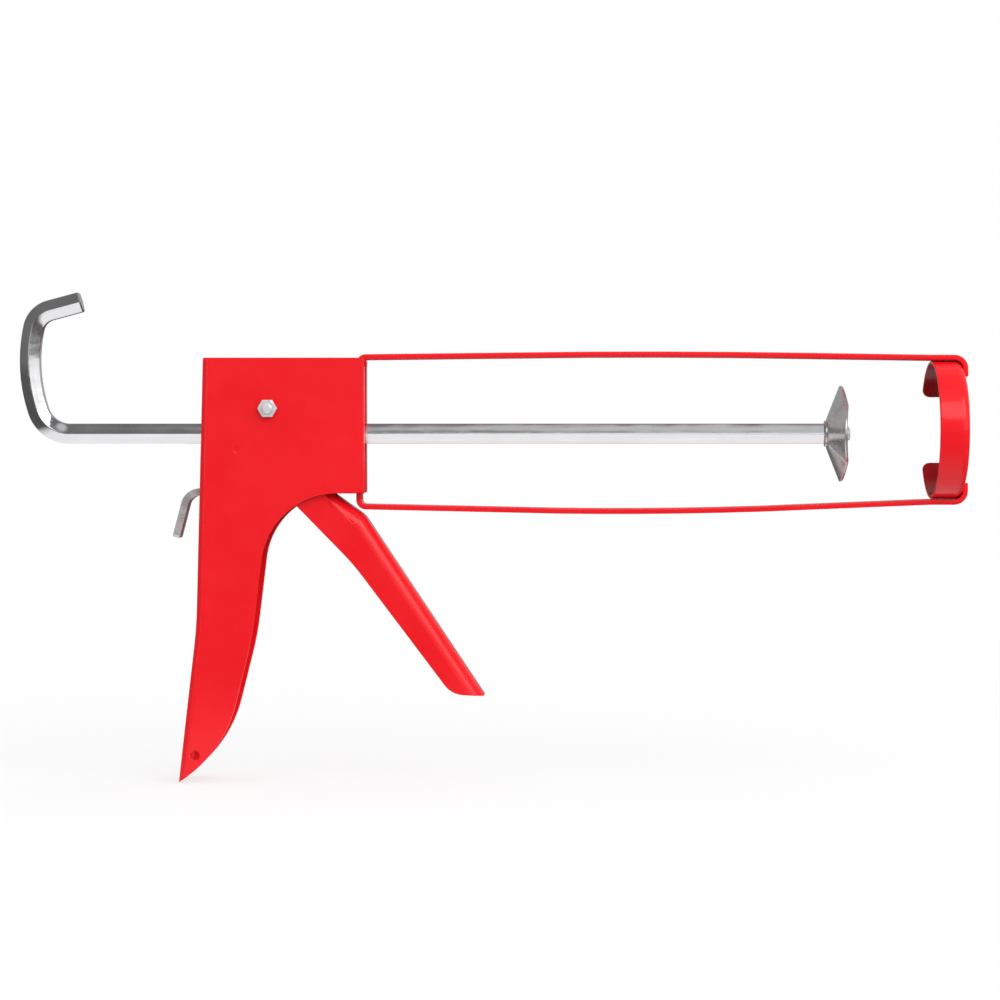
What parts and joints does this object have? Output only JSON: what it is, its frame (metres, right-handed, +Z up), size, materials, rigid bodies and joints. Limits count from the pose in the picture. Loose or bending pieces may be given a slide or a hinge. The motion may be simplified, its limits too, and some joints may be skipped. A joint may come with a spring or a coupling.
{
  "type": "caulking gun",
  "caption": "Strap-frame caulking gun with a folded sheet handle, hooked hexagonal push rod, squeeze trigger and thumb release.",
  "frame": {"origin": "push rod axis where it meets the front face of the cradle's rear web", "axes": "+X forward along the push rod towards the nozzle, +Z up away from the grip, +Y completes a right-handed frame"},
  "size_m": [0.3542, 0.0484, 0.1828],
  "materials": {
    "red_enamel": "glossy red enamel over sheet steel",
    "bright_zinc": "bright zinc-plated drawn steel",
    "pressed_steel": "grey zinc-plated pressed steel",
    "plate_steel": "dull hardened steel plate",
    "spring_steel": "drawn spring wire"
  },
  "bodies": {
    "frame": {"handle_housing": "red_enamel", "cradle_strap": "red_enamel", "front_cup": "red_enamel", "pivot_bolt": "bright_zinc", "pivot_nut": "bright_zinc", "pivot_sleeve": "bright_zinc", "drive_spring": "spring_steel", "brake_spring": "spring_steel"},
    "trigger": {"trigger": "red_enamel"},
    "drive": {"drive_plate": "plate_steel"},
    "brake": {"brake_lever": "plate_steel"},
    "rod": {"push_rod": "bright_zinc", "plunger_plate": "pressed_steel", "plunger_washer": "pressed_steel", "plunger_nut": "pressed_steel"}
  },
  "joints": [
    {"name": "trigger_pivot", "type": "hinge", "parent": "frame", "child": "trigger", "pos_m": [-0.0345, 0, 0.0093], "axis": [0, 1, 0], "range_deg": [0, 28], "stiffness_Nm_per_rad": 0.5, "springref_deg": -14.32},
    {"name": "drive_slide", "type": "slide", "parent": "frame", "child": "drive", "axis": [1, 0, 0], "range_m": [0, 0.0064], "deforming": ["drive_spring", "brake_spring"]},
    {"name": "brake_tilt", "type": "hinge", "parent": "frame", "child": "brake", "pos_m": [-0.0543, 0, 0.017], "axis": [0, -1, 0], "range_deg": [0, 5], "stiffness_Nm_per_rad": 0.1, "springref_deg": -17.19},
    {"name": "rod_slide", "type": "slide", "parent": "frame", "child": "rod", "axis": [1, 0, 0], "range_m": [-0.1715, 0.0395]}
  ],
  "couplings": [
    {"joint": "drive_slide", "follows": "trigger_pivot", "m_per_rad": 0.0128}
  ]
}
